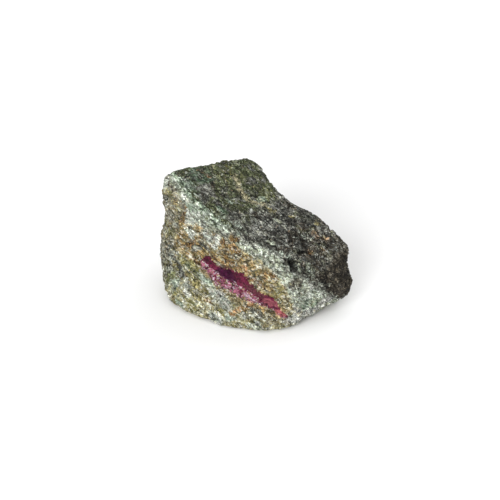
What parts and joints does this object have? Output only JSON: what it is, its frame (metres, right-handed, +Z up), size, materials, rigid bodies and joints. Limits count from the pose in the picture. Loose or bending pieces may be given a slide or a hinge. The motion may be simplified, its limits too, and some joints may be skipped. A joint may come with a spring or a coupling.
{
  "type": "rough stone of ruby in zoisite",
  "caption": "Hand-sized broken lump of granular green zoisite with dark hornblende and a slanting purple-red ruby lens on its front face; lies on a flat underside.",
  "frame": {"origin": "on the surface that the lump lies on, under the middle of its bounding box", "axes": "+X along the longest extent, from the tall end to the low thin end; -Y out of the front face that shows the ruby; +Z up"},
  "size_m": [0.061, 0.0476, 0.0415],
  "materials": {
    "ruby_zoisite": "rough granular fracture: grey-green zoisite, white feldspar, near-black hornblende, ochre stains and a glassier purple-red ruby lens"
  },
  "bodies": {
    "root": {"ruby_in_zoisite": "ruby_zoisite"}
  },
  "joints": []
}
